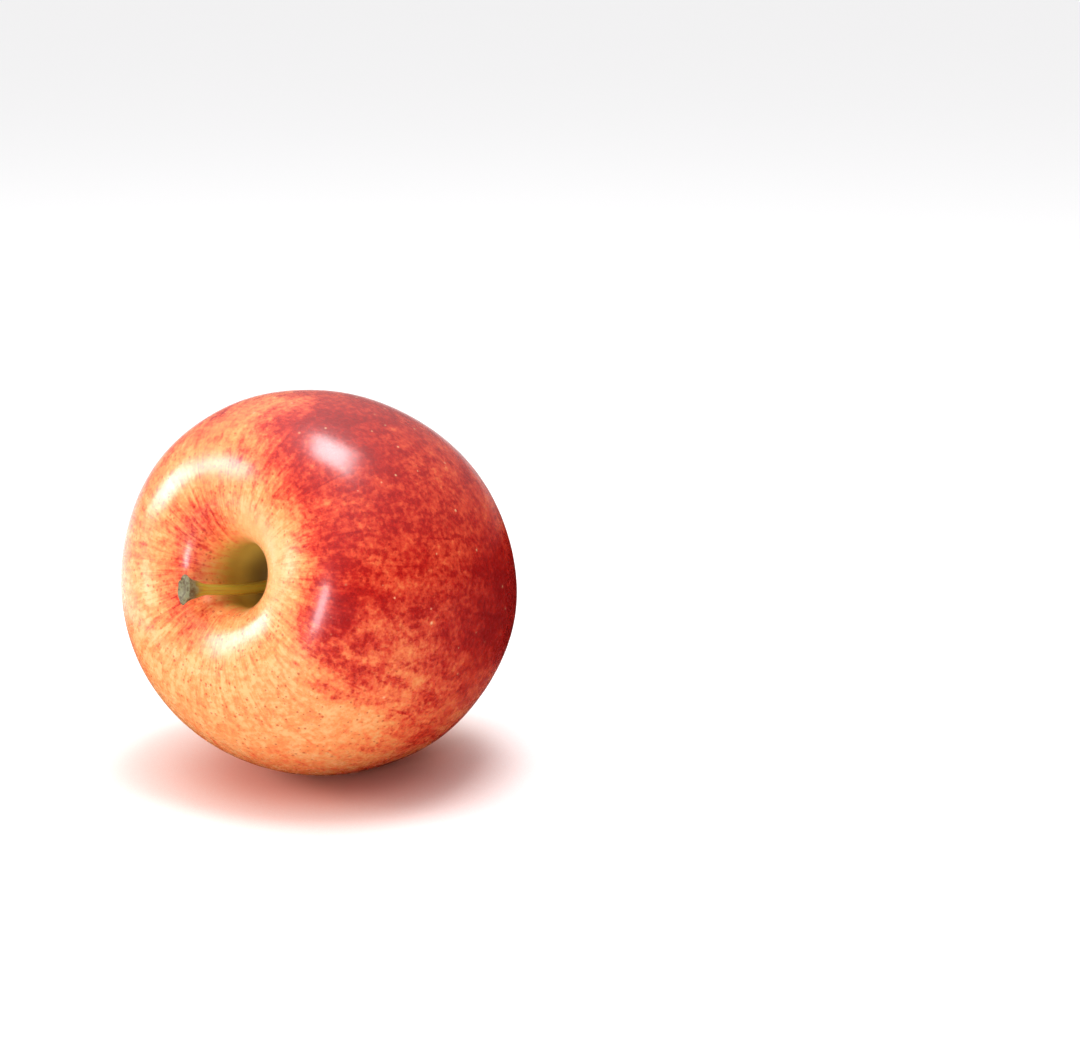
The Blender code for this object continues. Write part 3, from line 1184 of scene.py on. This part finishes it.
@dataclass
class Stem:
    """The woody stem, from its root in the socket to the flared end that came off the twig.

    Its leave and its arrival are the handles of its bend: a share of its height, a lean and a side.
    """

    fruit: Fruit
    radius: float = 1.0 * MM
    root_radius: float = 1.25 * MM
    end_radius: float = 2.6 * MM
    end_flare: float = 4.2 * MM
    proud: float = 2.4 * MM
    lean: float = math.radians(20.0)
    lean_side: float = math.radians(214.5)
    leave: tuple[float, float, float] = (0.32, math.radians(28.5), math.radians(270.0))
    arrival: tuple[float, float, float] = (0.4, math.radians(32.0), math.radians(195.0))
    straight_share: float = 0.1
    taper_share: float = 0.4
    flare_power: float = 1.6
    knob_share: float = 0.16
    clearance: float = 0.3 * MM
    rings: int = 96
    sides: int = 40
    attribute: str = "run"

    def path(self) -> list[tuple[Vector, float]]:
        """The stem's middle line, from its root to its end.

        Returns:
            A point and a radius for each ring.
        """
        start = Vector((0.0, 0.0, self.fruit.floor - self.fruit.socket_depth + self.clearance))
        root = Vector((0.0, 0.0, self.fruit.floor + self.clearance))
        height = self.fruit.cavity_depth + self.proud - self.clearance
        end = root + leaning(height / math.cos(self.lean), self.lean, self.lean_side)
        leave = root + leaning(self.leave[0] * height, *self.leave[1:])
        arrive = end - leaning(self.arrival[0] * height, *self.arrival[1:])
        path = []
        for step in range(self.rings + 1):
            share = step / self.rings
            t = max(0.0, (share - self.straight_share) / (1.0 - self.straight_share))
            s = 1.0 - t
            if share < self.straight_share:
                point = start.lerp(root, share / self.straight_share)
            else:
                point = s**3 * root + 3 * s * s * t * leave + 3 * s * t * t * arrive + t**3 * end
            root_share = min(1.0, max(0.0, 1.0 - (point.z - root.z) / (self.taper_share * height)))
            end_share = max(0.0, 1.0 - (end - point).length / self.end_flare) ** self.flare_power
            radius = self.radius + (self.root_radius - self.radius) * root_share
            path.append((point, radius + (self.end_radius - self.radius) * end_share))
        return path

    def build(self) -> bpy.types.Object:
        """Models the stem.

        Returns:
            The stem.
        """
        deselect_all()
        bpy.ops.mesh.primitive_cylinder_add(
            vertices=self.sides, radius=1.0, depth=1.0, end_fill_type="NGON", location=(0.0, 0.0, 0.0)
        )
        piece = bpy.context.object
        piece.name = piece.data.name = "stem_wood"
        piece.data.transform(Matrix.Translation((0.0, 0.0, 0.5)))
        self._slice(piece)
        self._end_face(piece)
        self._bend(piece)
        smooth(piece, 50.0)
        return piece

    def _slice(self, piece: bpy.types.Object) -> None:
        """Cuts the cylinder into rings.

        Args:
            piece: The cylinder.
        """
        edit(piece)
        for ring in range(1, self.rings):
            bpy.ops.mesh.select_all(action="SELECT")
            bpy.ops.mesh.bisect(plane_co=(0.0, 0.0, ring / self.rings), plane_no=(0.0, 0.0, 1.0))
        bpy.ops.object.mode_set(mode="OBJECT")

    def _end_face(self, piece: bpy.types.Object) -> None:
        """Rounds the rim of the flared end and sinks its middle.

        Args:
            piece: The sliced cylinder.
        """
        edit(piece)
        bpy.ops.mesh.select_all(action="DESELECT")
        bpy.ops.object.mode_set(mode="OBJECT")
        for face in piece.data.polygons:
            face.select = len(face.vertices) == self.sides and face.center.z > 0.999
        bpy.ops.object.mode_set(mode="EDIT")
        bpy.ops.mesh.select_mode(type="FACE")
        for rise, inward in ((0.007, 0.10), (0.002, 0.12), (-0.005, 0.20), (-0.002, 0.36), (-0.014, 0.45)):
            bpy.ops.mesh.extrude_region_move(TRANSFORM_OT_translate={"value": (0.0, 0.0, rise)})
            bpy.ops.transform.resize(value=(1.0 - inward, 1.0 - inward, 1.0))
        bpy.ops.mesh.select_mode(type="VERT")
        bpy.ops.object.mode_set(mode="OBJECT")

    def _bend(self, piece: bpy.types.Object) -> None:
        """Carries the straight stem on to its path.

        Args:
            piece: The straight stem.
        """
        path = self.path()
        run = piece.data.attributes.new(self.attribute, "FLOAT_VECTOR", "POINT")
        for vertex, item in zip(piece.data.vertices, run.data):
            item.vector = vertex.co
        reshape(piece, lambda point: self._carry(point, path))
        piece.data.transform(self.fruit.laid)
        clean_shell(piece)

    def _carry(self, point: Vector, path: list[tuple[Vector, float]]) -> Vector:
        """Carries one point on to the path, with ridged bark and a lumpy, slightly slanting end.

        Args:
            point: A point of the straight stem, whose length and radius are 1.
            path: The stem's middle line.

        Returns:
            Its place on the bent stem.
        """
        share = point.z
        at = min(max(share, 0.0), 1.0) * self.rings
        below = min(int(at), self.rings - 1)
        (near, thin), (far, thick) = path[below], path[below + 1]
        middle = near.lerp(far, at - below)
        radius = thin + (thick - thin) * (at - below)
        axis = (far - near).normalized()
        across = axis.cross(Vector((0.0, 1.0, 0.0))).normalized()
        upward = axis.cross(across).normalized()
        turn = math.atan2(point.y, point.x)
        ridge = noise.noise(Vector((2.2 * math.cos(turn), 2.2 * math.sin(turn), 5.0 * share)))
        lump = noise.noise(Vector((1.9 * math.cos(turn), 1.9 * math.sin(turn), 9.0 + 14.0 * share)))
        knob = max(0.0, (share - 1.0 + self.knob_share) / self.knob_share)
        swell = radius * (1.0 + 0.06 * ridge + 0.30 * knob * lump)
        beyond = max(0.0, share - 1.0) * 60.0 * MM
        slant = 0.05 * MM * knob**2 * point.x
        return middle + across * point.x * swell + upward * point.y * swell + axis * (beyond + slant)


# ---------------------------------------------------------------------------------------------
# The dried calyx
# ---------------------------------------------------------------------------------------------


@dataclass
class Sepal:
    """One dried sepal: a tapering leaf with a crumpled blade, standing at the calyx tube's mouth."""

    fruit: Fruit
    number: int
    curl: float
    length: float = 5.4 * MM
    width: float = 3.2 * MM
    thickness: float = 0.32 * MM
    setback: float = 1.3 * MM
    count: int = 5

    def build(self) -> bpy.types.Object:
        """Models the sepal in its packed twin's place.

        Returns:
            The sepal.
        """
        node = f"sepal_{self.number}"
        deselect_all()
        bpy.ops.mesh.primitive_grid_add(x_subdivisions=10, y_subdivisions=22, size=2.0, location=(0, 0, 0))
        piece = bpy.context.object
        piece.name = piece.data.name = f"dried_sepal_{self.number}"
        reshape(piece, self._blade)
        turn = (self.number - 0.5) * FULL_TURN / self.count
        radius = self.fruit.tube_radius + self.setback
        seat = Matrix.Rotation(turn, 4, "Z") @ Matrix.Translation((radius, 0.0, self.fruit.basin_depth))
        piece.data.transform(self.fruit.laid @ seat)
        apply_modifier(piece, "SOLIDIFY", thickness=self.thickness, offset=0.0)
        apply_modifier(piece, "SUBSURF", levels=1, render_levels=1)
        self._settle(piece, node)
        smooth(piece, 80.0)
        return piece

    def _blade(self, point: Vector) -> Vector:
        """Carries a point of the flat grid on to the curled blade.

        Args:
            point: A point of the grid, from -1 to 1 each way.

        Returns:
            Its place on the blade, with the sepal's foot at the origin.
        """
        across, along = point.x, 0.5 * (point.y + 1.0)
        s = 1.0 - along
        tip = Vector((0.28 * self.curl * self.length, -0.92 * self.length))
        leave = Vector((-0.12 * self.length, -0.35 * self.length))
        arrive = Vector((-0.16 * self.length, -0.75 * self.length))
        middle = 3 * s * s * along * leave + 3 * s * along**2 * arrive + along**3 * tip
        width = 0.5 * self.width * (1.0 - 0.88 * along**1.3)
        trough = 0.16 * width * (1.0 - across**2)
        seed = 11.0 * self.number
        crumple = noise.noise(Vector((1.6 * across + seed, 4.2 * along, 0.0))) * 0.5 * MM * along
        ragged = 1.0 + 0.16 * noise.noise(Vector((seed, 9.0 * along, math.copysign(2.0, across))))
        return Vector((middle.x + trough + crumple, across * width * ragged, middle.y))

    @staticmethod
    def _settle(piece: bpy.types.Object, node: str) -> None:
        """Moves the sepal so that its box has the same middle as its packed twin's.

        Args:
            piece: The sepal.
            node: Its packed twin.
        """
        low, high = box_of(piece)
        packed_low, packed_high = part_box(node)
        piece.data.transform(Matrix.Translation((packed_low + packed_high - low - high) / 2.0))


@dataclass
class StamenTuft:
    """The withered stamens and styles: a plug in the calyx tube and a tangle of fine threads."""

    fruit: Fruit
    threads: int = 18
    thread_radius: float = 0.11 * MM
    next_turn: float = 0.382
    reach: float = 2.7 * MM
    clearance: float = 0.3 * MM

    def build(self) -> bpy.types.Object:
        """Models the tuft.

        Returns:
            The tuft.
        """
        pieces = [self._plug()]
        for number in range(self.threads):
            pieces.append(self._thread(number))
        deselect_all()
        for piece in pieces:
            piece.select_set(True)
        bpy.context.view_layer.objects.active = pieces[0]
        bpy.ops.object.join()
        piece = bpy.context.object
        piece.name = piece.data.name = "withered_stamens"
        piece.data.transform(self.fruit.laid)
        smooth(piece, 60.0)
        return piece

    def _plug(self) -> bpy.types.Object:
        """The plug that the threads grow from.

        Returns:
            The plug.
        """
        top = self.fruit.basin_depth + self.fruit.tube_depth - self.clearance
        height = self.fruit.tube_depth - 2.0 * self.clearance
        radius = self.fruit.tube_end_radius - self.clearance
        deselect_all()
        bpy.ops.mesh.primitive_uv_sphere_add(segments=24, ring_count=14, radius=radius, location=(0, 0, 0))
        piece = bpy.context.object
        stretch = height / (2.0 * radius)
        piece.data.transform(
            Matrix.Translation((0.0, 0.0, top - 0.5 * height)) @ Matrix.Diagonal((1.0, 1.0, stretch, 1.0))
        )
        return piece

    def _thread(self, number: int) -> bpy.types.Object:
        """One withered stamen: a bent tapering thread with a small anther at its end.

        Args:
            number: Which one it is, which sets its place, its length and its bend.

        Returns:
            The thread.
        """
        turn = number * FULL_TURN * self.next_turn
        ring = math.sqrt((number + 0.5) / self.threads)
        spread = (self.fruit.tube_end_radius - self.clearance) * 0.8
        foot = self.fruit.basin_depth + 0.45 * self.fruit.tube_depth
        outward = Vector((math.cos(turn), math.sin(turn), 0.0))
        aside = Vector((-outward.y, outward.x, 0.0)) * (0.5 * MM * math.sin(2.4 * number))
        length = self.reach * (0.72 + 0.28 * math.cos(1.7 * number))
        start = outward * spread * ring + Vector((0.0, 0.0, foot))
        mouth = outward * spread * ring * 0.9 + Vector((0.0, 0.0, self.fruit.basin_depth))
        tip = outward * (spread * ring + 0.7 * MM * ring) + aside
        tip += Vector((0.0, 0.0, self.fruit.basin_depth - length))
        deselect_all()
        bpy.ops.curve.primitive_bezier_curve_add(location=(0.0, 0.0, 0.0))
        piece = bpy.context.object
        line = piece.data
        line.bevel_depth = self.thread_radius
        line.bevel_resolution = 1
        line.resolution_u = 5
        line.use_fill_caps = True
        spline = line.splines[0]
        spline.bezier_points.add(2)
        anther = tip + (tip - mouth).normalized() * 0.35 * MM
        for point, (spot, width) in zip(
            spline.bezier_points, ((start, 1.0), (mouth, 0.9), (tip, 0.8), (anther, 2.2))
        ):
            point.handle_left_type = point.handle_right_type = "AUTO"
            point.co = spot
            point.radius = width
        bpy.ops.object.convert(target="MESH")
        return bpy.context.object


# ---------------------------------------------------------------------------------------------
# The studio
# ---------------------------------------------------------------------------------------------


@dataclass(frozen=True)
class Panel:
    """A soft light panel: where it stands from the apple, its size, power, tilt and colour.

    A gloss-only panel adds to the skin's sheen and doesn't light it.
    """

    name: str
    right: float
    up: float
    near: float
    width: float
    height: float
    watts: float
    tilt: float = 0.0
    colour: Colour = (1.0, 1.0, 1.0)
    gloss_only: bool = False


@dataclass
class Studio:
    """White floor and surround, soft panels and the camera, all set round the apple."""

    middle: Vector
    azimuth: float = math.radians(33.0)
    elevation: float = math.radians(14.5)
    distance: float = 0.5
    aim_right: float = 40.4 * MM
    aim_up: float = 10.5 * MM
    lens: float = 88.3
    horizon: float = 0.30
    zenith: float = 1.56
    side_dim: float = 0.4
    flag_radius: float = 45.0 * MM
    flag_low: float = 0.5 * MM
    flag_high: float = 64.0 * MM
    flag_start: float = math.radians(-98.0)
    flag_end: float = math.radians(112.0)
    flag_tuck: float = 1.12
    shade_card_size: float = 0.22
    shade_card_lift: float = 0.4 * MM
    attribute: str = "shade_card_flat"
    panels: tuple[Panel, ...] = (
        Panel("left_softbox", -0.62, 0.22, 0.04, 0.33, 0.25, 2.25),
        Panel("top_softbox", 0.085, 0.62, 0.18, 0.31, 0.26, 2.6),
        Panel("front_strip", -0.108, -0.06, 0.246, 0.040, 0.13, 0.36, -25.0, (0.96, 0.94, 1.0)),
        Panel("left_sheen", -0.62, 0.22, 0.04, 0.29, 0.19, 3.5, gloss_only=True),
        Panel("top_sheen", 0.075, 0.62, 0.18, 0.22, 0.18, 1.5, 0.0, (0.95, 0.92, 1.0), gloss_only=True),
    )

    def axes(self) -> tuple[Vector, Vector, Vector]:
        """The camera's own directions.

        Returns:
            Its right, its up and its back.
        """
        back = Vector(
            (
                math.sin(self.azimuth) * math.cos(self.elevation),
                -math.cos(self.azimuth) * math.cos(self.elevation),
                math.sin(self.elevation),
            )
        )
        right = Vector((math.cos(self.azimuth), math.sin(self.azimuth), 0.0))
        return right, back.cross(right), back

    def towards_camera(self) -> Vector:
        """The level direction from the apple to the camera."""
        return Vector((math.sin(self.azimuth), -math.cos(self.azimuth), 0.0))

    def build(self) -> None:
        """Sets up the floor, the surround, the cards, the panels and the camera."""
        self._floor()
        self._surround()
        # Gloss-only dark cards: painted shade in the skin's reflections.
        self._card("rim_shade_card", 32, 24, self._round_apple)
        self._card("front_shade_card", 8, 8, self._before_apple)
        for panel in self.panels:
            self._panel(panel)
        self._camera()
        bpy.context.scene.view_settings.view_transform = "Standard"

    def _floor(self) -> None:
        """A wide white floor."""
        deselect_all()
        bpy.ops.mesh.primitive_plane_add(size=12.0, location=(0.0, 0.0, 0.0))
        floor = bpy.context.object
        floor.name = floor.data.name = "white_floor"
        floor.data.materials.append(PaleSweep().build())

    def _card(self, name: str, wide: int, high: int, move: Callable[[Vector], Vector]) -> None:
        """Makes a dark card that only the skin's gloss sees: a painted dark reflection of shade.

        Args:
            name: The card's name.
            wide: How many squares it is wide.
            high: How many squares it is high.
            move: Carries a point of the flat card, from -0.5 to 0.5 each way, to its place.
        """
        deselect_all()
        bpy.ops.mesh.primitive_grid_add(
            x_subdivisions=wide, y_subdivisions=high, size=1.0, location=(0.0, 0.0, 0.0)
        )
        card = bpy.context.object
        card.name = card.data.name = name
        flat = card.data.attributes.new(self.attribute, "FLOAT_VECTOR", "POINT")
        for vertex, item in zip(card.data.vertices, flat.data):
            item.vector = vertex.co
        card.data.materials.append(GlossShadeCard(name, self.attribute).build())
        card.visible_camera = card.visible_diffuse = card.visible_shadow = False
        card.visible_transmission = card.visible_volume_scatter = False
        reshape(card, move)

    def _round_apple(self, point: Vector) -> Vector:
        """Bends the card round the apple's right side and in under its cheek, painting shade into the
        rim's reflection to keep it dark.

        Args:
            point: A point of the flat card.

        Returns:
            Its place.
        """
        right, _, _ = self.axes()
        turn = self.flag_start + (point.x + 0.5) * (self.flag_end - self.flag_start)
        height = self.flag_low + (point.y + 0.5) * (self.flag_high - self.flag_low)
        below = max(0.0, self.middle.z - height) / (self.flag_tuck * self.middle.z)
        around = right * math.cos(turn) - self.towards_camera() * math.sin(turn)
        foot = Vector((self.middle.x, self.middle.y, height))
        return foot + around * self.flag_radius * math.sqrt(1.0 - below**2)

    def _before_apple(self, point: Vector) -> Vector:
        """Spreads the card on the floor before the apple, painting shade into its gloss where the floor's
        white would show.

        Args:
            point: A point of the flat card.

        Returns:
            Its place.
        """
        middle = 0.5 * self.shade_card_size * self.towards_camera()
        return 2.0 * self.shade_card_size * point + middle + Vector((0.0, 0.0, self.shade_card_lift))

    def _surround(self) -> None:
        """A white surround, brightest overhead and dim on the camera's right."""
        world = bpy.data.worlds.new("white_surround")
        bpy.context.scene.world = world
        world.use_nodes = True
        board = Board(world.node_tree)
        heading = board.node("ShaderNodeTexCoord").outputs["Generated"]
        right, _, _ = self.axes()
        high = board.math("MAXIMUM", board.vector("DOT_PRODUCT", heading, (0.0, 0.0, 1.0)), 0.0)
        strength = board.math("MULTIPLY_ADD", board.math("POWER", high, 2.0), self.zenith, self.horizon)
        side = board.band(board.vector("DOT_PRODUCT", heading, tuple(right)), 0.0, 0.8)
        strength = board.math("MULTIPLY", strength, board.math("MULTIPLY_ADD", side, -self.side_dim, 1.0))
        ground = world.node_tree.nodes["Background"]
        ground.inputs["Color"].default_value = (1.0, 1.0, 1.0, 1.0)
        board.feed(ground.inputs["Strength"], strength)

    def _panel(self, panel: Panel) -> None:
        """Sets up one soft panel that faces the apple.

        Args:
            panel: The panel.
        """
        right, up, back = self.axes()
        light = bpy.data.lights.new(panel.name, "AREA")
        light.shape = "RECTANGLE"
        light.size = panel.width
        light.size_y = panel.height
        light.energy = panel.watts
        light.color = panel.colour
        lamp = bpy.data.objects.new(panel.name, light)
        bpy.context.collection.objects.link(lamp)
        lamp.visible_diffuse = not panel.gloss_only
        lamp.location = self.middle + panel.right * right + panel.up * up + panel.near * back
        facing = (lamp.location - self.middle).to_track_quat("Z", "Y").to_matrix()
        lamp.rotation_euler = (facing @ Matrix.Rotation(math.radians(panel.tilt), 3, "Z")).to_euler()

    def _camera(self) -> None:
        """The camera, with the apple left of the middle of its view."""
        right, up, back = self.axes()
        lens = bpy.data.cameras.new("camera")
        lens.lens = self.lens
        lens.sensor_width = 36.0
        lens.clip_start = 0.01
        camera = bpy.data.objects.new("camera", lens)
        bpy.context.collection.objects.link(camera)
        turned = Matrix((right, up, back)).transposed()
        camera.rotation_euler = turned.to_euler()
        camera.location = self.middle + right * self.aim_right + up * self.aim_up + back * self.distance
        bpy.context.scene.camera = camera


def write_sizes() -> None:
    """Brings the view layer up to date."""
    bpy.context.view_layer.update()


def main() -> None:
    """Builds the apple and the studio round it."""
    logging.basicConfig(level=logging.INFO, format="%(name)s: %(message)s")
    effects = SharedEffects.build()
    fruit = Fruit()
    skin = WaxySkin(effects, fruit.attribute)
    place(fruit.build(), Slot.SKIN, skin.build(), "fruit")
    stem = Stem(fruit)
    place(stem.build(), Slot.STEM, StemWood(effects, stem.attribute).build(), "stem")
    leaf = DriedLeaf(effects).build()
    for number, curl in enumerate((1.0, 0.55, 1.25, 0.8, 1.1), start=1):
        place(Sepal(fruit, number, curl).build(), Slot.SEPAL, leaf, f"sepal_{number}")
    thread = DriedLeaf(
        effects,
        name="dried_stamen",
        dark=(0.02, 0.01, 0.006),
        mid=(0.07, 0.038, 0.018),
        pale=(0.17, 0.11, 0.06),
    )
    place(StamenTuft(fruit).build(), Slot.STAMEN, thread.build(), "stamen_tuft")
    Studio(fruit.laid @ Vector((0.0, 0.0, 0.5 * fruit.height))).build()
    write_sizes()


if __name__ == "__main__":
    main()
